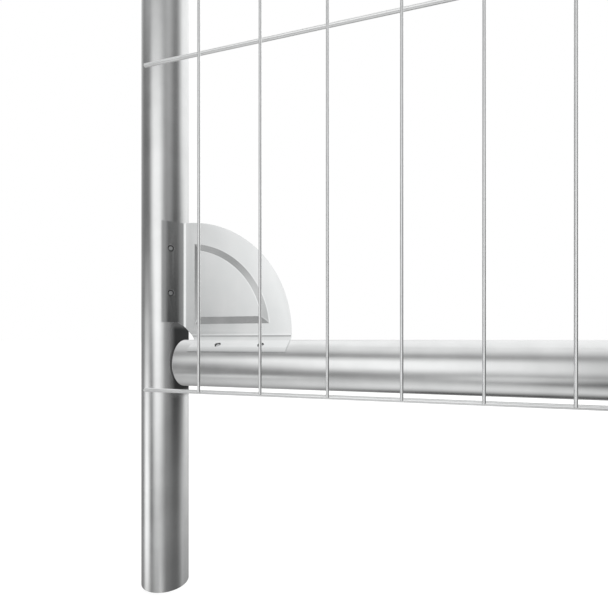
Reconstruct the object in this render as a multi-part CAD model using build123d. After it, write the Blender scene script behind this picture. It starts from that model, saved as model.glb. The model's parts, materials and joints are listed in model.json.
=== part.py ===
"""Square top mesh fence panel: a welded tube frame with pressed corner plates and a welded wire mesh.

Millimetres. +X runs along the panel, +Z is up and the mesh is on the -Y side. The origin is on the
ground, half way between the posts, in the plane of the tubes' axes.
"""
from build123d import *
import math
import os

# Frame of tubes
panel_length = 3500.0
panel_height = 2000.0
tube_diameter = 43.0
tube_wall = 1.5
leg_length = 186.1  # free end of each post under the bottom rail
top_stub = 57.0  # each post above the top rail
weld_gap = 0.05  # left between two pieces that are welded together

# Welded mesh
cross_wire_diameter = 3.5
upright_wire_diameter = 2.5
cross_wire_count = 7
upright_wire_count = 60
wires_per_group = 2
edge_wire_gap = 0.55  # between a rail and the cross wire that runs along it
cross_wire_overhang = 5.7  # past the post's axis
first_upright_offset = 51.5  # from the post's axis

# Corner plate, from the crossing of the two tubes' axes
sheet_thickness = 2.0
web_setback = 7.0  # from the tubes' plane to the web's face on the mesh side
web_clearance = 0.5  # from the flange's outer radius to the middle of the bend
bend_radius = 7.5  # inside the bend
flange_wrap = 60.0  # degrees round the tube, from the tubes' plane
plate_radius = 100.9
corner_cut = 3.2  # legs of the cut across the web's inner corner
flange_start = 37.4
field_margin = 8.25  # from the bend line to the foot of the raised field
field_radius = 81.6
field_wall_width = 5.8
field_height = 2.5

# Plug welds, two in each flange
plug_diameter = 6.0
plug_angle = 43.5  # degrees round the tube, from the tubes' plane
plug_from_corner = 64.0
plug_spacing = 40.5
plug_height = 1.2

tube_radius = tube_diameter / 2
cross_wire_radius = cross_wire_diameter / 2
upright_wire_radius = upright_wire_diameter / 2
post_axis_x = panel_length / 2 - tube_radius
bottom_rail_z = leg_length + tube_radius
top_rail_z = panel_height - top_stub - tube_radius

# The sheet follows the tube, leaves it along a straight tangent, then bends into the flat web.
seat_radius = tube_radius + weld_gap
flange_radius = seat_radius + sheet_thickness
bend_line = flange_radius + web_clearance + bend_radius / 2
bend_centre_depth = web_setback + bend_radius
bend_centre_distance = math.hypot(bend_line, bend_centre_depth)
bend_centre_angle = math.atan2(bend_centre_depth, bend_line)
tangent_turn = math.acos((flange_radius + bend_radius) / bend_centre_distance)
tangent_angle = math.degrees(bend_centre_angle + tangent_turn)
plate_end = bend_line + plate_radius
plug_root = tube_radius / 2  # well inside the tube, where a plug's cutting pin starts


def tube(length):
    """A tube standing on the origin."""
    ring = Circle(tube_radius) - Circle(tube_radius - tube_wall)
    return extrude(ring, amount=length)


def post(side):
    return Pos(side * post_axis_x, 0, 0) * tube(panel_height)


def rail(height):
    """A rail cut square at both ends, which butts against the posts."""
    length = 2 * (post_axis_x - tube_radius - weld_gap)
    return Pos(-length / 2, 0, height) * Rot(0, 90, 0) * tube(length)


def polar(radius, degrees):
    angle = math.radians(degrees)
    return radius * math.cos(angle), radius * math.sin(angle)


def flange_section():
    """The bend and the flange, cut across the post, which stands at the origin."""
    wrap = flange_wrap - tangent_angle
    turn = 90 - tangent_angle
    bend_centre = (bend_line, -bend_centre_depth)
    outer_bend_radius = bend_radius + sheet_thickness
    web_edge = Line((bend_line, sheet_thickness - web_setback), (bend_line, -web_setback))
    front_bend = CenterArc(bend_centre, bend_radius, 90, turn)
    front_tangent = Line(front_bend @ 1, polar(flange_radius, -tangent_angle))
    front = CenterArc((0, 0), flange_radius, -tangent_angle, -wrap)
    free_edge = Line(polar(flange_radius, -flange_wrap), polar(seat_radius, -flange_wrap))
    back = CenterArc((0, 0), seat_radius, -flange_wrap, wrap)
    back_bend = CenterArc(bend_centre, outer_bend_radius, 180 - tangent_angle, -turn)
    back_tangent = Line(polar(seat_radius, -tangent_angle), back_bend @ 0)
    front_edges = [web_edge, front_bend, front_tangent, front]
    return make_face(front_edges + [free_edge, back, back_tangent, back_bend])


def post_flange():
    """The flange on the post. The cut across the web's corner runs on into it, down to its inner end."""
    cut_end = bend_line + corner_cut
    front_view = Polyline(
        (0, flange_start),
        (bend_line + cut_end - flange_start, flange_start),
        (bend_line, cut_end),
        (bend_line, plate_end),
        (0, plate_end),
        close=True,
    )
    trim = extrude(Plane.XZ * make_face(front_view), amount=2 * flange_radius)
    return extrude(flange_section(), amount=plate_end) & trim


def web_plane(depth):
    """The plane of the web's drawings: its x along the rail, its y up the post, depth towards the mesh."""
    return Plane(origin=(bend_line, -depth, bend_line), x_dir=(1, 0, 0), z_dir=(0, -1, 0))


def web():
    """The quarter-round web between the bend lines, with its inner corner cut across."""
    edges = [
        Line((corner_cut, 0), (plate_radius, 0)),
        CenterArc((0, 0), plate_radius, 0, 90),
        Line((0, plate_radius), (0, corner_cut)),
        Line((0, corner_cut), (corner_cut, 0)),
    ]
    back = web_plane(web_setback - sheet_thickness)
    return extrude(back * make_face(edges), amount=sheet_thickness)


def field_outline(inset):
    """The raised field's outline: two straight sides and an arc about the web's inner corner."""
    side = field_margin + inset
    radius = field_radius - inset
    far = math.sqrt(radius**2 - side**2)
    start = math.degrees(math.atan2(side, far))
    edges = [
        Line((side, side), (far, side)),
        CenterArc((0, 0), radius, start, 90 - 2 * start),
        Line((side, far), (side, side)),
    ]
    return make_face(edges)


def field_block(depth, inset):
    """The raised field as a block with sloping sides, standing on the plane at the given depth."""
    foot = web_plane(depth) * field_outline(inset)
    top = web_plane(depth + field_height) * field_outline(inset + field_wall_width)
    return loft([foot, top], ruled=True)


def mirrored_across_corner(shape):
    """The same shape on the other tube."""
    return mirror(shape, about=Plane(origin=(0, 0, 0), z_dir=(1, 0, -1)))


def plug_places():
    return [plug_from_corner, plug_from_corner + plug_spacing]


def radial_pin(radius, reach, height):
    """A round pin that points out from the post's axis at the plug welds' angle."""
    pin = Cylinder(radius, reach - plug_root, align=(Align.CENTER, Align.CENTER, Align.MIN))
    outwards = Rot(0, 0, -plug_angle) * Rot(0, 90, 0)
    return Pos(0, 0, height) * outwards * Pos(0, 0, plug_root) * pin


def corner_plate():
    """One corner plate, for the corner with the post on its left and the rail below."""
    flange = post_flange()
    for height in plug_places():
        flange -= radial_pin(plug_diameter / 2, flange_radius + sheet_thickness, height)
    wall_angle = math.atan2(field_height, field_wall_width)
    back_inset = sheet_thickness * math.tan(wall_angle / 2)
    sheet = web() + flange + mirrored_across_corner(flange)
    sheet += field_block(web_setback, 0)
    return sheet - field_block(web_setback - sheet_thickness, back_inset)


def plug_welds():
    """The four plug welds of one corner plate. Each fills the foot of its hole, down to the tube."""
    tube_core = Cylinder(seat_radius, 2 * plate_end)
    on_post = [
        radial_pin(plug_diameter / 2 - weld_gap, seat_radius + plug_height, height) - tube_core
        for height in plug_places()
    ]
    return on_post + [mirrored_across_corner(plug) for plug in on_post]


def cross_wire(height):
    length = 2 * (post_axis_x + cross_wire_overhang)
    depth = tube_radius + weld_gap + cross_wire_radius
    return Pos(0, -depth, height) * Cylinder(cross_wire_radius, length, rotation=(0, 90, 0))


def upright_wire(x, low, high):
    depth = tube_radius + 2 * weld_gap + cross_wire_diameter + upright_wire_radius
    wire = Cylinder(upright_wire_radius, high - low)
    return Pos(x, -depth, (low + high) / 2) * wire


def evenly(first, last, count):
    step = (last - first) / (count - 1)
    return [first + step * number for number in range(count)]


def write(name, solids):
    """Saves one named piece, or a group of like pieces."""
    shape = solids[0] if len(solids) == 1 else Compound(children=solids)
    export_step(shape, f"parts/{name}.step")


os.makedirs("parts", exist_ok=True)

write("left_post", [post(-1)])
write("right_post", [post(1)])
write("bottom_rail", [rail(bottom_rail_z)])
write("top_rail", [rail(top_rail_z)])

# One plate fits every corner, because it is the same on both sides of its diagonal.
corners = {
    "bottom_left": Pos(-post_axis_x, 0, bottom_rail_z),
    "top_left": Pos(-post_axis_x, 0, top_rail_z) * Rot(0, 90, 0),
    "top_right": Pos(post_axis_x, 0, top_rail_z) * Rot(0, 180, 0),
    "bottom_right": Pos(post_axis_x, 0, bottom_rail_z) * Rot(0, 270, 0),
}
plate = corner_plate()
plugs = plug_welds()
for corner, place in corners.items():
    write(f"corner_plate_{corner}", [place * plate])
    write(f"plug_welds_{corner}", [place * plug for plug in plugs])

edge_wire_offset = tube_radius + edge_wire_gap + cross_wire_radius
lowest_wire = bottom_rail_z - edge_wire_offset
highest_wire = top_rail_z + edge_wire_offset
for number, height in enumerate(evenly(lowest_wire, highest_wire, cross_wire_count), start=1):
    write(f"cross_wire_{number}", [cross_wire(height)])

first_upright = first_upright_offset - post_axis_x
uprights = [
    upright_wire(x, lowest_wire, highest_wire)
    for x in evenly(first_upright, -first_upright, upright_wire_count)
]
for start in range(0, upright_wire_count, wires_per_group):
    group = start // wires_per_group + 1
    write(f"upright_wires_{group:02d}", uprights[start : start + wires_per_group])
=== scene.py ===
"""Dresses the square top mesh fence panel: galvanised tubes, pressed corner plates and welded wire.

Metres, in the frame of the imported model: +X along the panel, +Z up, the mesh on the -Y side.
"""
import bmesh
import bpy
import json
import math
from mathutils import Matrix, Vector

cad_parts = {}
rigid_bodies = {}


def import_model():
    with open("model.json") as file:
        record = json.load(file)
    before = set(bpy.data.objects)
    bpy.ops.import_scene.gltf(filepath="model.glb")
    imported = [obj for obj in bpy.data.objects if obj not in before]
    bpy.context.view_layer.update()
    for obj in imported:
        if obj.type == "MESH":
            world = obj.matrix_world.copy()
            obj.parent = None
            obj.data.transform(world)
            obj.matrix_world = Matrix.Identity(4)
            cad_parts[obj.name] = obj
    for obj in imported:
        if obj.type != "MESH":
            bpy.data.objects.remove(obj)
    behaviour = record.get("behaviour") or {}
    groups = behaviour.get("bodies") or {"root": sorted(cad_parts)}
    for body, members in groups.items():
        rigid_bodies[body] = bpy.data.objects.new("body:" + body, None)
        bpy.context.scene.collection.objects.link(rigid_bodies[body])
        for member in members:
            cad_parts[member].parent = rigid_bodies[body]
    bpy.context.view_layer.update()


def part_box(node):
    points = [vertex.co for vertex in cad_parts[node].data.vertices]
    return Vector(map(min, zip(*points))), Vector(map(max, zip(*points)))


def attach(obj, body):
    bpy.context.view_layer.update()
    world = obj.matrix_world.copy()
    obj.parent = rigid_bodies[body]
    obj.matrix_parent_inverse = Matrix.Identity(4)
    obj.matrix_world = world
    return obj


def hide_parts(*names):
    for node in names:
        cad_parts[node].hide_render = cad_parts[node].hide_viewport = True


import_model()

mm = 0.001
quarter_turn = math.pi / 2
same_place = 0.01 * mm  # two places closer than this count as one
merge_distance = 0.005 * mm

# Tubes, placed by the frame
post_low, post_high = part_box("left_post")
rail_low, rail_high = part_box("bottom_rail")
top_rail_low, top_rail_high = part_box("top_rail")
panel_height = post_high.z - post_low.z
tube_radius = (post_high.x - post_low.x) / 2
post_axis_x = -(post_low.x + post_high.x) / 2
rail_length = rail_high.x - rail_low.x
bottom_rail_z = (rail_low.z + rail_high.z) / 2
top_rail_z = (top_rail_low.z + top_rail_high.z) / 2
half_rail_spacing = (top_rail_z - bottom_rail_z) / 2
tube_wall = 1.5 * mm
tube_sides = 96
saw_burr = 0.35 * mm  # how far the saw's edge is rubbed off a tube's rim

# Wires, placed by the frame
wire_sides = 16
wire_end_chamfer = 0.3 * mm
cross_wire_count = 7
upright_group_count = 30
weld_reach = 2.6 * mm  # from a crossing to where the wire is round again
weld_swell = 1.06  # how much wider the wire is at a weld
weld_sink = 0.15 * mm  # how far the wire's middle sinks into the wire behind
weld_rings = ((-1, 0), (-0.5, 0.6), (0, 1), (0.5, 0.6), (1, 0))  # shares of the reach and of the squeeze

# Corner plate, from the crossing of the two tubes' axes
sheet_thickness = 2.0 * mm
weld_gap = 0.05 * mm  # between two pieces that are welded together
web_setback = 7.0 * mm  # from the tubes' plane to the web's face on the mesh side
web_clearance = 4.25 * mm  # from the flange's outer radius to the quarter-round web's straight edges
fold_line = 26.9 * mm  # where the flat web starts to fold
fold_radius = 4.8 * mm  # tight, beside the web
fold_angle = math.radians(49)  # of the sheet where the fold eases off
flange_angle = math.radians(34)  # of the flange's flat, which lies on the tube
flange_flat = 7.5 * mm
lip_radius = 13.5 * mm  # of the flange's free edge, which is rolled in towards the tube
lip_angle = math.radians(60)
plate_radius = 100.9 * mm
corner_cut = 3.2 * mm  # legs of the cut across the web's inner corner
flange_start = 37.4 * mm
field_margin = 8.25 * mm  # from the web's straight edges to the foot of the raised field
field_radius = 81.6 * mm
field_wall_width = 5.8 * mm
field_height = 2.5 * mm
press_radius = 0.4 * mm  # softens the raised field's folds
sheared_edge = 0.25 * mm  # softens the sheet's cut edges
arc_sides = 160
fold_steps = 8
ease_steps = 6
lip_steps = 6

# Plug welds
plug_radius = 3.0 * mm
plug_angle = math.radians(43.5)  # round the tube, from the tubes' plane
plug_from_corner = 64.0 * mm
plug_spacing = 40.5 * mm
plug_distances = (plug_from_corner, plug_from_corner + plug_spacing)
plug_height = 1.2 * mm
plug_root_depth = 0.3 * mm  # of a plug's foot under the tube's face
plug_rings = ((0.5, -0.35), (0.5, 0.2), (0.6, 0.15), (0.6, -0.08))  # steps in and up from the rim, in mm
plug_sides = 32
cutter_overshoot = 4.0 * mm  # of the pins that cut the plugs' holes

# An edge is softened where the surface turns by more than this
rim_turn = math.radians(50)  # sawn rim of a tube
wire_end_turn = math.radians(60)
press_turn = math.radians(15)  # fold of the raised field
sheared_turn = math.radians(60)  # cut edge of the sheet
flat_turn = math.radians(0.1)  # where the sheet turns by less, its faces are made one

# An edge is shaded as sharp where the surface turns by more than this
round_shading = math.radians(40)  # tubes and wires
plate_shading = math.radians(35)
bead_shading = math.radians(60)

flange_radius = tube_radius + weld_gap + sheet_thickness
plug_top = tube_radius + weld_gap + plug_height
bend_line = flange_radius + web_clearance
fold_depth = web_setback + fold_radius
fold_reach = fold_line * math.cos(flange_angle) + fold_depth * math.sin(flange_angle)
ease_turn = fold_angle - flange_angle
ease_room = fold_reach - flange_radius - fold_radius * math.cos(ease_turn)
ease_radius = ease_room / (1 - math.cos(ease_turn))  # so that the flat meets the tube

# Painted shade: matt dark grey put into the zinc where shade falls, on a post in the pocket beside a rail's
# end, and round each plug weld's rim, down in its hole
painted_shade_grey = "#4c4d4d"
joint_shade_heading = math.radians(5)  # from the line where the rail touches, towards the back
joint_shade_rise = 4.0 * mm  # of the painted shade's middle from the rail's axis, towards the panel's middle
joint_shade_across = (13.0 * mm, 21.0 * mm)  # from its middle to where it starts to fade and to where it ends
joint_shade_along = (26.5 * mm, 37.0 * mm)
plug_rim_shade_ring = (1.4 * mm, 2.2 * mm)  # from a plug's middle to where its rim starts to darken and is dark
far_away = 1.0  # a start for the search of the nearest plug's middle

# Pattern of the zinc, in the noises' own range
streak_detail = 2.0
cloud_detail = 3.0
cloud_ends = (0.3, 0.7)  # where the clouds have their darker and their lighter tone
gloss_ends = (0.7, 1.3)  # where streaks and clouds together give the lowest and the highest roughness

# View, from the left post's axis
camera_right_of_post = 0.2438
camera_before_panel = 0.3513
camera_height = 0.2294
camera_turn = math.radians(16.746)
camera_sensor = 36.0
camera_lens = 25.23
camera_shift_up = 0.0583

# Floor and surround, white for the eye
white = "#ffffff"
floor_paint = "#bcbcbc"
floor_lift = 0.74  # the floor's own light, for the camera alone
floor_size = 80.0

# Studio round the panel as the metal sees it. Angles in degrees: heading 0 is +X and -90 is the
# camera's side.
studio_white = 1.0  # where no panel stands
studio_panels = {
    # heading, half width, elevation, half height, soft edge, brightness
    "grey room": (-120, 135, -5, 55, 35, 0.3),
    "back wall": (60, 90, 55, 35, 35, 1.2),
    "front softbox": (-115, 45, 10, 30, 20, 1.3),
    "low left card": (-145, 25, 0, 30, 10, 1.4),
    "right shade": (-5, 25, 0, 50, 20, 0.2),
    "right flag": (10, 35, 0, 10, 15, 0.0),
    "left flag": (-155, 30, 20, 20, 15, 0.2),
    "low front card": (-70, 15, -40, 10, 5, 1.2),
    "low left spot": (-130, 10, -50, 5, 5, 1.2),
    "high front bar": (-100, 40, 45, 5, 20, 0.1),
    "low back flag": (70, 40, -45, 20, 25, 0.0),
    "left seam": (-125, 10, -15, 20, 15, 0.0),
    "front gap": (-20, 50, -45, 15, 10, 0.1),
}


def to_linear(colour):
    """A colour written as sRGB hex, as the linear colour that shaders take."""
    channels = [int(colour[start : start + 2], 16) / 255 for start in (1, 3, 5)]
    linear = [c / 12.92 if c <= 0.04045 else ((c + 0.055) / 1.055) ** 2.4 for c in channels]
    return (*linear, 1.0)


def add_node(tree, kind, inputs=None, **settings):
    """Adds a node with its settings, and sets or links its inputs."""
    node = tree.nodes.new(kind)
    for name, value in settings.items():
        setattr(node, name, value)
    for socket, value in (inputs or {}).items():
        if isinstance(value, bpy.types.NodeSocket):
            tree.links.new(value, node.inputs[socket])
        else:
            node.inputs[socket].default_value = value
    return node


def new_material(name):
    """An empty node tree, ready for a surface."""
    material = bpy.data.materials.new(name)
    material.use_nodes = True
    material.node_tree.nodes.clear()
    return material, material.node_tree


def from_nearest_corner(tree, place):
    """A place as seen from the panel's middle, with all four corners folded onto the one at +X and +Z."""
    middle = (0, 0, (bottom_rail_z + top_rail_z) / 2)
    moved = add_node(tree, "ShaderNodeVectorMath", {0: place, 1: middle}, operation="SUBTRACT")
    folded = add_node(tree, "ShaderNodeVectorMath", {0: moved.outputs[0]}, operation="ABSOLUTE")
    beside = add_node(tree, "ShaderNodeSeparateXYZ", {0: folded.outputs[0]}).outputs
    depth = add_node(tree, "ShaderNodeSeparateXYZ", {0: place}).outputs["Y"]
    return beside["X"], depth, beside["Z"]


def joint_painted_shade(tree, place):
    """How much painted shade a post gets in the pockets beside the ends of its two rails, from 1 to 0."""
    x, y, z = from_nearest_corner(tree, place)
    section = add_node(tree, "ShaderNodeCombineXYZ", {"X": x, "Y": y})
    seam_x = post_axis_x - tube_radius * math.cos(joint_shade_heading)
    seam_y = tube_radius * math.sin(joint_shade_heading)
    across = add_node(
        tree,
        "ShaderNodeVectorMath",
        {0: section.outputs[0], 1: (seam_x, seam_y, 0)},
        operation="DISTANCE",
    )
    level = half_rail_spacing - joint_shade_rise
    rise = add_node(tree, "ShaderNodeMath", {0: z, 1: level}, operation="SUBTRACT")
    lengthwise = add_node(tree, "ShaderNodeMath", {0: rise.outputs[0]}, operation="ABSOLUTE")
    shade_share = 1.0
    for distance, (start, end) in (
        (across.outputs["Value"], joint_shade_across),
        (lengthwise.outputs[0], joint_shade_along),
    ):
        near = add_node(
            tree,
            "ShaderNodeMapRange",
            {"Value": distance, "From Min": start, "From Max": end, "To Min": 1.0, "To Max": 0.0},
            interpolation_type="SMOOTHSTEP",
        )
        shade_share = add_node(
            tree, "ShaderNodeMath", {0: shade_share, 1: near.outputs[0]}, operation="MULTIPLY"
        ).outputs[0]
    return shade_share


def plug_rim_painted_shade(tree, place):
    """How much painted shade lies on the rim of a plug weld, where it sits down in its hole, from 0 in its
    middle to 1.
    """
    here = add_node(tree, "ShaderNodeCombineXYZ", dict(enumerate(from_nearest_corner(tree, place))))
    inwards = plug_top * math.cos(plug_angle)
    outwards = -plug_top * math.sin(plug_angle)
    nearest = far_away
    for distance in plug_distances:
        for side, rise in ((inwards, distance), (distance, inwards)):
            plug = (post_axis_x - side, outwards, half_rail_spacing - rise)
            away = add_node(
                tree, "ShaderNodeVectorMath", {0: here.outputs[0], 1: plug}, operation="DISTANCE"
            )
            nearest = add_node(
                tree, "ShaderNodeMath", {0: nearest, 1: away.outputs["Value"]}, operation="MINIMUM"
            ).outputs[0]
    start, end = plug_rim_shade_ring
    rim = add_node(
        tree,
        "ShaderNodeMapRange",
        {"Value": nearest, "From Min": start, "From Max": end, "To Min": 0.0, "To Max": 1.0},
        interpolation_type="SMOOTHSTEP",
    )
    return rim.outputs[0]


def zinc_surface(name, colours, roughness, grain, cloud, relief, painted_shade=None):
    """Zinc on steel. The grain is streaks of the given size in millimetres along X, Y and Z, and the cloud
    is soft mottling of the given size. Both shift the gloss, and the grain stands up by the relief in mm.
    Where the painted shade says 1, the zinc is painted over with matt dark grey as shade."""
    material, tree = new_material(name)
    place = add_node(tree, "ShaderNodeTexCoord").outputs["Object"]
    per_metre = [1 / (size * mm) for size in grain]
    stretched = add_node(tree, "ShaderNodeMapping", {"Vector": place, "Scale": per_metre})
    streaks = add_node(
        tree,
        "ShaderNodeTexNoise",
        {"Vector": stretched.outputs[0], "Scale": 1.0, "Detail": streak_detail},
    ).outputs["Fac"]
    clouds = add_node(
        tree,
        "ShaderNodeTexNoise",
        {"Vector": place, "Scale": 1 / (cloud * mm), "Detail": cloud_detail},
    ).outputs["Fac"]
    tone = add_node(tree, "ShaderNodeValToRGB", {"Fac": clouds})
    for stop, edge, colour in zip(tone.color_ramp.elements, cloud_ends, colours):
        stop.position = edge
        stop.color = to_linear(colour)
    both = add_node(tree, "ShaderNodeMath", {0: streaks, 1: clouds}, operation="ADD")
    gloss = add_node(
        tree,
        "ShaderNodeMapRange",
        {
            "Value": both.outputs[0],
            "From Min": gloss_ends[0],
            "From Max": gloss_ends[1],
            "To Min": roughness[0],
            "To Max": roughness[1],
        },
    )
    bump = add_node(
        tree, "ShaderNodeBump", {"Height": streaks, "Strength": 1.0, "Distance": relief * mm}
    )
    paint = tone.outputs["Color"]
    metal = 1.0
    # Painted shade: a matt dark grey mixed into the colour, with the metal and its gloss taken away
    if painted_shade:
        shade_share = painted_shade(tree, place)
        # Of this node's inputs, 6 and 7 are the two colours.
        paint = add_node(
            tree, "ShaderNodeMix", {"Factor": shade_share, 6: paint, 7: to_linear(painted_shade_grey)}, data_type="RGBA"
        ).outputs[2]
        metal = add_node(tree, "ShaderNodeMath", {0: 1.0, 1: shade_share}, operation="SUBTRACT").outputs[0]
    surface = add_node(
        tree,
        "ShaderNodeBsdfPrincipled",
        {
            "Base Color": paint,
            "Metallic": metal,
            "Roughness": gloss.outputs[0],
            "Normal": bump.outputs["Normal"],
        },
    )
    if painted_shade:
        surface.inputs["Specular IOR Level"].default_value = 0.0  # the painted shade has no gloss
    add_node(tree, "ShaderNodeOutputMaterial", {"Surface": surface.outputs[0]})
    return material


# Galvanised tube, sized through rollers: satin zinc whose reflections run lengthwise and waver a little.
# On the posts, shade is painted into it as matt dark grey, in the pockets beside the rails' ends.
tube_grain_across = 11.0
tube_grain_along = 90.0
tube_cloud = 28.0
tube_tones = ("#d6d7d7", "#e1e2e2")
tube_roughness = (0.22, 0.27)
tube_relief = 0.15
upright_tube_zinc = zinc_surface(
    "galvanised_tube_upright",
    tube_tones,
    tube_roughness,
    (tube_grain_across, tube_grain_across, tube_grain_along),
    cloud=tube_cloud,
    relief=tube_relief,
    painted_shade=joint_painted_shade,
)
level_tube_zinc = zinc_surface(
    "galvanised_tube_level",
    tube_tones,
    tube_roughness,
    (tube_grain_along, tube_grain_across, tube_grain_across),
    cloud=tube_cloud,
    relief=tube_relief,
)
# Galvanised sheet, pressed cold: flat and satin, with no grain that the eye can follow.
sheet_zinc = zinc_surface(
    "galvanised_pressed_sheet",
    ("#dee0e0", "#e4e5e5"),
    (0.23, 0.27),
    (14.0, 14.0, 60.0),
    cloud=20.0,
    relief=0.02,
)
# Galvanised wire, drawn thin before dipping: duller than the tubes, with lengthwise marks. They are drawn
# coarser than drawing dies leave them, so that they show.
wire_zinc = zinc_surface(
    "galvanised_drawn_wire",
    ("#eeefef", "#f4f5f5"),
    (0.34, 0.42),
    (2.0, 2.0, 40.0),
    cloud=30.0,
    relief=0.01,
)
# Plug weld, zinc sprayed over bare weld metal: grainy and bright in its middle, with shade painted dark
# round its rim, down in its hole.
# The grain is drawn coarser than the spray's, so that it shows.
weld_zinc = zinc_surface(
    "zinc_over_plug_weld",
    ("#bfc1c2", "#d8dadb"),
    (0.36, 0.5),
    (1.2, 1.2, 1.2),
    cloud=2.5,
    relief=0.05,
    painted_shade=plug_rim_painted_shade,
)


def select_in_edit_mode(kind, test):
    """Selects only the vertices, edges or faces for which the test holds."""
    bpy.ops.mesh.select_all(action="DESELECT")
    mesh = bpy.context.edit_object.data
    shape = bmesh.from_edit_mesh(mesh)
    for element in getattr(shape, kind):
        if test(element):
            element.select = True
    bmesh.update_edit_mesh(mesh)


def lies_at(element, axis, place):
    """Whether all corners of an edge or a face lie at a place on the axis, 0 to 2 for X to Z."""
    return all(abs(corner.co[axis] - place) < same_place for corner in element.verts)


def unit(axis):
    """The direction of an axis, 0 to 2 for X to Z."""
    return Vector([1 if number == axis else 0 for number in range(3)])


def apply_modifier(piece, kind, **settings):
    modifier = piece.modifiers.new(kind.lower(), kind)
    for name, value in settings.items():
        setattr(modifier, name, value)
    bpy.ops.object.modifier_apply(modifier=modifier.name)


def activate(piece):
    """Makes a piece the only one that operators act on."""
    bpy.ops.object.select_all(action="DESELECT")
    piece.select_set(True)
    bpy.context.view_layer.objects.active = piece


def copied(piece, place):
    """A copy of a piece with a mesh of its own, put in its place."""
    copy = piece.copy()
    copy.data = piece.data.copy()
    copy.data.transform(place)
    bpy.context.scene.collection.objects.link(copy)
    return copy


def joined(pieces):
    activate(pieces[0])
    for piece in pieces:
        piece.select_set(True)
    bpy.ops.object.join()
    return bpy.context.active_object


def discard(piece):
    bpy.data.objects.remove(piece)


def smooth(piece, sharp_from):
    """Smooth shading up to an angle, with flat faces kept flat beside their softened edges."""
    activate(piece)
    bpy.ops.object.shade_smooth_by_angle(angle=sharp_from)
    apply_modifier(piece, "WEIGHTED_NORMAL", keep_sharp=True, weight=100)


def hand_over(piece, name, node, material):
    """Names the finished piece, gives it its finish and lets it stand for its node."""
    piece.name = name
    piece.data.name = name
    piece.data.materials.clear()
    piece.data.materials.append(material)
    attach(piece, "root")
    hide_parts(node)
    piece.visible_glossy = False  # the metal mirrors the studio, not its neighbours


def tube(length, centre, turn):
    """A tube with its wall, cut square by a saw, so that both rims are a little rubbed off."""
    bpy.ops.object.select_all(action="DESELECT")
    bpy.ops.mesh.primitive_cylinder_add(
        vertices=tube_sides,
        radius=tube_radius,
        depth=length,
        end_fill_type="NOTHING",
        location=centre,
        rotation=turn,
    )
    piece = bpy.context.active_object
    bpy.ops.object.transform_apply(location=True, rotation=True, scale=True)
    apply_modifier(piece, "SOLIDIFY", thickness=tube_wall, offset=-1.0)
    apply_modifier(piece, "BEVEL", width=saw_burr, segments=2, angle_limit=rim_turn)
    smooth(piece, round_shading)
    return piece


def dress_tubes():
    upright = (0, 0, 0)
    level = (0, quarter_turn, 0)
    for side, sign in (("left", -1), ("right", 1)):
        post = tube(panel_height, (sign * post_axis_x, 0, panel_height / 2), upright)
        hand_over(post, f"{side}_post_tube", f"{side}_post", upright_tube_zinc)
    for end, height in (("bottom", bottom_rail_z), ("top", top_rail_z)):
        rail = tube(rail_length, (0, 0, height), level)
        hand_over(rail, f"{end}_rail_tube", f"{end}_rail", level_tube_zinc)
        rail.visible_glossy = True  # its dark open end shows in the post beside it


def wire(radius, length, centre, turn):
    """A straight wire with sheared ends."""
    bpy.ops.object.select_all(action="DESELECT")
    bpy.ops.mesh.primitive_cylinder_add(
        vertices=wire_sides, radius=radius, depth=length, location=centre, rotation=turn
    )
    piece = bpy.context.active_object
    bpy.ops.object.transform_apply(location=True, rotation=True, scale=True)
    apply_modifier(piece, "BEVEL", width=wire_end_chamfer, segments=2, angle_limit=wire_end_turn)
    return piece


def swell_at_welds(piece, crossings, axis, sink_axis):
    """Squeezes the wire out sideways at each crossing and sinks it into what it is welded to."""
    activate(piece)
    bpy.ops.object.mode_set(mode="EDIT")
    direction = unit(axis)
    rings = [
        (crossing + share * weld_reach, squeeze)
        for crossing in crossings
        for share, squeeze in weld_rings
    ]
    for place, squeeze in rings:
        bpy.ops.mesh.select_all(action="SELECT")
        bpy.ops.mesh.bisect(plane_co=direction * place, plane_no=direction)
    for place, squeeze in rings:
        select_in_edit_mode("verts", lambda corner: abs(corner.co[axis] - place) < same_place)
        wider = 1 + (weld_swell - 1) * squeeze
        scale = [1 if number in (axis, sink_axis) else wider for number in range(3)]
        shift = [weld_sink * squeeze if number == sink_axis else 0 for number in range(3)]
        bpy.ops.transform.resize(value=scale, center_override=direction * place)
        bpy.ops.transform.translate(value=shift)
    bpy.ops.object.mode_set(mode="OBJECT")


def dress_cross_wires():
    """Makes one cross wire, copies it to each height and gives the heights back."""
    low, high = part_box("cross_wire_1")
    depth = (low.y + high.y) / 2
    model = wire((high.y - low.y) / 2, high.x - low.x, (0, depth, 0), (0, quarter_turn, 0))
    swell_at_welds(model, (-post_axis_x, post_axis_x), axis=0, sink_axis=1)
    smooth(model, round_shading)
    heights = []
    for number in range(1, cross_wire_count + 1):
        low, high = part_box(f"cross_wire_{number}")
        heights.append((low.z + high.z) / 2)
        piece = copied(model, Matrix.Translation((0, 0, heights[-1])))
        name = f"level_wire_{number}"
        hand_over(piece, name, f"cross_wire_{number}", wire_zinc)
    discard(model)
    return heights


def dress_upright_wires(crossings):
    """Makes one upright wire, welded at each crossing, and copies it in pairs of neighbours."""
    low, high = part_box("upright_wires_01")
    radius = (high.y - low.y) / 2
    middle = (low + high) / 2
    model = wire(radius, high.z - low.z, (0, middle.y, middle.z), (0, 0, 0))
    swell_at_welds(model, crossings, axis=2, sink_axis=1)
    smooth(model, round_shading)
    for number in range(1, upright_group_count + 1):
        node = f"upright_wires_{number:02d}"
        low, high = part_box(node)
        places = (low.x + radius, high.x - radius)
        pair = joined([copied(model, Matrix.Translation((x, 0, 0))) for x in places])
        hand_over(pair, f"upright_pair_{number:02d}", node, wire_zinc)
    discard(model)


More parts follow.
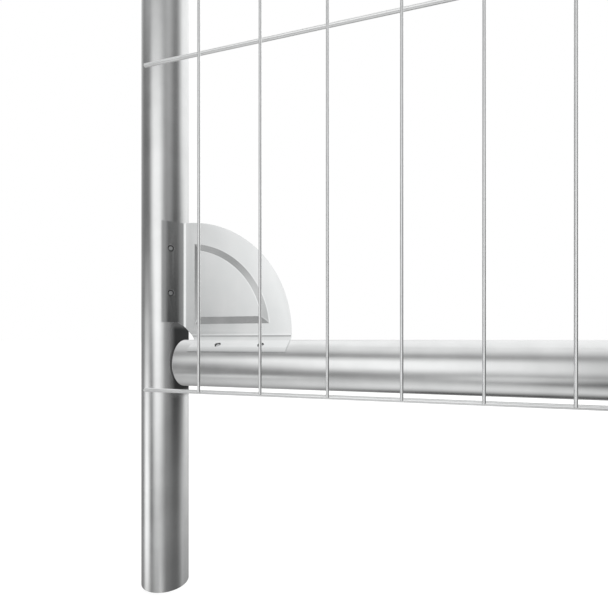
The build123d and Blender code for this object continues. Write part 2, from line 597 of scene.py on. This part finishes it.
def keep_beyond(point, normal, fill=False):
    """Cuts the selected part of the mesh with a plane and keeps what lies on the normal's side."""
    direction = Vector(normal).normalized()
    bpy.ops.mesh.bisect(plane_co=point, plane_no=direction, clear_inner=True, use_fill=fill)
    bpy.ops.mesh.select_linked()


def outline_of_web():
    """The quarter-round web as an outline, with its inner corner cut across."""
    crossing = Vector((bend_line, -web_setback, bend_line))
    bpy.ops.mesh.primitive_circle_add(
        vertices=arc_sides,
        radius=plate_radius,
        fill_type="NGON",
        location=crossing,
        rotation=(quarter_turn, 0, 0),
    )
    keep_beyond(crossing, (1, 0, 0))
    keep_beyond(crossing, (0, 0, 1))
    keep_beyond(crossing + Vector((corner_cut, 0, 0)), (1, 0, 1))
    bpy.ops.mesh.delete(type="ONLY_FACE")


def raised_field():
    """The pressed field: a flat cone cut by the slopes of its two straight walls."""
    slope = field_wall_width / field_height
    foot = Vector((bend_line + field_margin, -web_setback, bend_line + field_margin))
    bpy.ops.mesh.primitive_cone_add(
        vertices=arc_sides,
        radius1=field_radius,
        radius2=field_radius - field_wall_width,
        depth=field_height,
        location=(bend_line, -web_setback - field_height / 2, bend_line),
        rotation=(quarter_turn, 0, 0),
    )
    keep_beyond(foot, (1, slope, 0), fill=True)
    keep_beyond(foot, (0, slope, 1), fill=True)
    select_in_edit_mode("faces", lambda face: lies_at(face, 1, -web_setback))
    bpy.ops.mesh.delete(type="ONLY_FACE")


def flange(axis):
    """Folds the web's straight edge, eases it onto the tube and rolls its free edge in.
    Axis 0 is the edge along the post, 2 the one along the rail."""
    away = unit(axis)
    lengthwise = unit(2 - axis)
    forward = Vector((0, -1, 0))
    sense = -1 if axis == 0 else 1

    def facing(angle):
        return away * math.cos(angle) + forward * math.sin(angle)

    lead = away * (fold_line - bend_line)
    fold_centre = away * fold_line + forward * fold_depth
    ease_centre = fold_centre + facing(fold_angle) * (ease_radius - fold_radius)
    run = facing(flange_angle + quarter_turn) * flange_flat
    lip_centre = ease_centre - facing(flange_angle) * (ease_radius + lip_radius) + run
    select_in_edit_mode("edges", lambda edge: lies_at(edge, axis, bend_line))
    bpy.ops.mesh.extrude_region_move(TRANSFORM_OT_translate={"value": lead})
    for steps, turn, centre in (
        (fold_steps, quarter_turn - fold_angle, fold_centre),
        (ease_steps, ease_turn, ease_centre),
    ):
        bpy.ops.mesh.spin(steps=steps, angle=sense * turn, center=centre, axis=lengthwise)
    bpy.ops.mesh.extrude_region_move(TRANSFORM_OT_translate={"value": run})
    lip_turn = lip_angle - flange_angle
    bpy.ops.mesh.spin(steps=lip_steps, angle=-sense * lip_turn, center=lip_centre, axis=lengthwise)
    trim_flange(axis, away, lengthwise)


def trim_flange(axis, away, lengthwise):
    """Cuts the flange's inner end square, and runs the cut across the web's corner on into its bend."""
    cut_sum = 2 * bend_line + corner_cut
    square_from = cut_sum - flange_start

    def within(face, high):
        return all(corner.co[axis] < high + same_place for corner in face.verts)

    def cut_off(face):
        centre = face.calc_center_median()
        end = min(flange_start, cut_sum - centre[axis])
        return within(face, bend_line) and centre[2 - axis] < end

    for reach, point, normal in (
        (bend_line, away * square_from, away),
        (bend_line, away * cut_sum, away + lengthwise),
        (square_from, lengthwise * flange_start, lengthwise),
    ):
        select_in_edit_mode("faces", lambda face: within(face, reach))
        bpy.ops.mesh.bisect(plane_co=point, plane_no=normal.normalized())
    select_in_edit_mode("faces", cut_off)
    bpy.ops.mesh.delete(type="FACE")


def on_flanges():
    """Where the four plug welds of a plate sit, as turns of a pin that points up."""
    for distance in plug_distances:
        outwards = Matrix.Rotation(-plug_angle, 4, "Z") @ Matrix.Rotation(quarter_turn, 4, "Y")
        yield Matrix.Translation((0, 0, distance)) @ outwards
        outwards = Matrix.Rotation(plug_angle, 4, "X")
        yield Matrix.Translation((distance, 0, 0)) @ outwards


def plug_hole_cutter():
    """Four pins through the flanges, as one cutter."""
    bpy.ops.object.select_all(action="DESELECT")
    reach = flange_radius + cutter_overshoot
    length = reach / 2
    bpy.ops.mesh.primitive_cylinder_add(
        vertices=plug_sides, radius=plug_radius, depth=length, location=(0, 0, reach - length / 2)
    )
    pin = bpy.context.active_object
    bpy.ops.object.transform_apply(location=True)
    pins = [copied(pin, turn) for turn in on_flanges()]
    discard(pin)
    return joined(pins)


def corner_plate():
    """The plate for the corner with the post on its left and the rail below, at the tubes' crossing."""
    bpy.ops.object.select_all(action="DESELECT")
    bpy.ops.object.add(type="MESH")
    plate = bpy.context.active_object
    bpy.ops.object.mode_set(mode="EDIT")
    outline_of_web()
    raised_field()
    select_in_edit_mode("edges", lambda edge: lies_at(edge, 1, -web_setback))
    bpy.ops.mesh.fill()
    bpy.ops.mesh.dissolve_limited(angle_limit=flat_turn)
    flange(0)
    flange(2)
    bpy.ops.mesh.select_all(action="SELECT")
    bpy.ops.mesh.remove_doubles(threshold=merge_distance)
    bpy.ops.mesh.normals_make_consistent(inside=False)
    bpy.ops.object.mode_set(mode="OBJECT")
    apply_modifier(plate, "BEVEL", width=press_radius, segments=3, angle_limit=press_turn)
    apply_modifier(plate, "SOLIDIFY", thickness=sheet_thickness, offset=-1.0, use_even_offset=True)
    cutter = plug_hole_cutter()
    activate(plate)
    apply_modifier(plate, "BOOLEAN", operation="DIFFERENCE", object=cutter, solver="EXACT")
    discard(cutter)
    apply_modifier(plate, "BEVEL", width=sheared_edge, segments=2, angle_limit=sheared_turn)
    smooth(plate, plate_shading)
    return plate


def plug_bead():
    """One plug weld, standing up on the Z axis: a puddle that fills the foot of its hole, with a dimple."""
    bpy.ops.object.select_all(action="DESELECT")
    root = tube_radius - plug_root_depth
    height = plug_top - root
    bpy.ops.mesh.primitive_cylinder_add(
        vertices=plug_sides, radius=plug_radius, depth=height, location=(0, 0, root + height / 2)
    )
    bead = bpy.context.active_object
    bpy.ops.object.transform_apply(location=True)
    bpy.ops.object.mode_set(mode="EDIT")
    select_in_edit_mode("faces", lambda face: face.normal.z > 0.5)
    for step, rise in plug_rings:
        bpy.ops.mesh.inset(thickness=step * mm, depth=rise * mm)
    bpy.ops.object.mode_set(mode="OBJECT")
    smooth(bead, bead_shading)
    return bead


def dress_corners():
    """One plate and one set of plug welds, turned to fit each corner."""
    plate = corner_plate()
    bead = plug_bead()
    beads = joined([copied(bead, turn) for turn in on_flanges()])
    discard(bead)
    corners = (
        ("bottom_left", -post_axis_x, bottom_rail_z),
        ("top_left", -post_axis_x, top_rail_z),
        ("top_right", post_axis_x, top_rail_z),
        ("bottom_right", post_axis_x, bottom_rail_z),
    )
    for number, (corner, x, z) in enumerate(corners):
        place = Matrix.Translation((x, 0, z)) @ Matrix.Rotation(number * quarter_turn, 4, "Y")
        sheet = copied(plate, place)
        name = f"pressed_plate_{corner}"
        hand_over(sheet, name, f"corner_plate_{corner}", sheet_zinc)
        plugs = copied(beads, place)
        hand_over(plugs, f"plug_beads_{corner}", f"plug_welds_{corner}", weld_zinc)
    discard(plate)
    discard(beads)


def pale_floor():
    """A matt floor, lifted to white for the eye. The light that falls on it comes on top, so that a shadow
    shows. The metal doesn't mirror it."""
    bpy.ops.object.select_all(action="DESELECT")
    bpy.ops.mesh.primitive_plane_add(size=floor_size)
    floor = bpy.context.active_object
    floor.name = "studio_floor"
    material, tree = new_material("matt_white_floor")
    paint = add_node(tree, "ShaderNodeBsdfDiffuse", {"Color": to_linear(floor_paint)})
    seen = add_node(tree, "ShaderNodeLightPath").outputs["Is Camera Ray"]
    lift = add_node(tree, "ShaderNodeMath", {0: seen, 1: floor_lift}, operation="MULTIPLY")
    glow = add_node(tree, "ShaderNodeEmission", {"Strength": lift.outputs[0]})
    total = add_node(tree, "ShaderNodeAddShader", {0: paint.outputs[0], 1: glow.outputs[0]})
    add_node(tree, "ShaderNodeOutputMaterial", {"Surface": total.outputs[0]})
    floor.data.materials.append(material)
    floor.visible_glossy = False


def studio_world():
    """A white surround for the eye. The metal sees a studio of soft panels instead, with dark gaps between
    them, because it would look flat and pale in plain white."""
    world = bpy.data.worlds.new("studio")
    world.use_nodes = True
    tree = world.node_tree
    tree.nodes.clear()
    direction = add_node(tree, "ShaderNodeTexCoord").outputs["Generated"]
    parts = add_node(tree, "ShaderNodeSeparateXYZ", {0: direction}).outputs
    heading = add_node(tree, "ShaderNodeMath", {0: parts["Y"], 1: parts["X"]}, operation="ARCTAN2")
    elevation = add_node(tree, "ShaderNodeMath", {0: parts["Z"]}, operation="ARCSINE")
    light = studio_white
    for middle, half_width, rise, half_height, soft, brightness in studio_panels.values():
        turned = add_node(
            tree,
            "ShaderNodeMath",
            {0: heading.outputs[0], 1: math.radians(middle)},
            operation="SUBTRACT",
        )
        across = add_node(
            tree, "ShaderNodeMath", {0: turned.outputs[0], 1: math.pi, 2: -math.pi}, operation="WRAP"
        )
        upwards = add_node(
            tree,
            "ShaderNodeMath",
            {0: elevation.outputs[0], 1: math.radians(rise)},
            operation="SUBTRACT",
        )
        cover = 1.0
        for offset, half in ((across, half_width), (upwards, half_height)):
            distance = add_node(tree, "ShaderNodeMath", {0: offset.outputs[0]}, operation="ABSOLUTE")
            inside = add_node(
                tree,
                "ShaderNodeMapRange",
                {
                    "Value": distance.outputs[0],
                    "From Min": math.radians(half - soft),
                    "From Max": math.radians(half + soft),
                    "To Min": 1.0,
                    "To Max": 0.0,
                },
                interpolation_type="SMOOTHSTEP",
            )
            cover = add_node(
                tree, "ShaderNodeMath", {0: cover, 1: inside.outputs[0]}, operation="MULTIPLY"
            ).outputs[0]
        light = add_node(
            tree, "ShaderNodeMix", {"Factor": cover, "A": light, "B": brightness}, data_type="FLOAT"
        ).outputs[0]
    seen = add_node(tree, "ShaderNodeLightPath").outputs["Is Camera Ray"]
    strength = add_node(
        tree, "ShaderNodeMix", {"Factor": seen, "A": light, "B": 1.0}, data_type="FLOAT"
    )
    background = add_node(
        tree, "ShaderNodeBackground", {"Color": to_linear(white), "Strength": strength.outputs[0]}
    )
    add_node(tree, "ShaderNodeOutputWorld", {"Surface": background.outputs[0]})
    bpy.context.scene.world = world


def photograph_view():
    bpy.ops.object.camera_add(
        location=(camera_right_of_post - post_axis_x, -camera_before_panel, camera_height),
        rotation=(quarter_turn, 0, camera_turn),
    )
    camera = bpy.context.active_object
    camera.data.sensor_width = camera_sensor
    camera.data.lens = camera_lens
    camera.data.shift_y = camera_shift_up
    bpy.context.scene.camera = camera


dress_tubes()
wire_heights = dress_cross_wires()
dress_upright_wires(wire_heights)
dress_corners()
pale_floor()
studio_world()
photograph_view()
bpy.context.scene.view_settings.view_transform = "Standard"
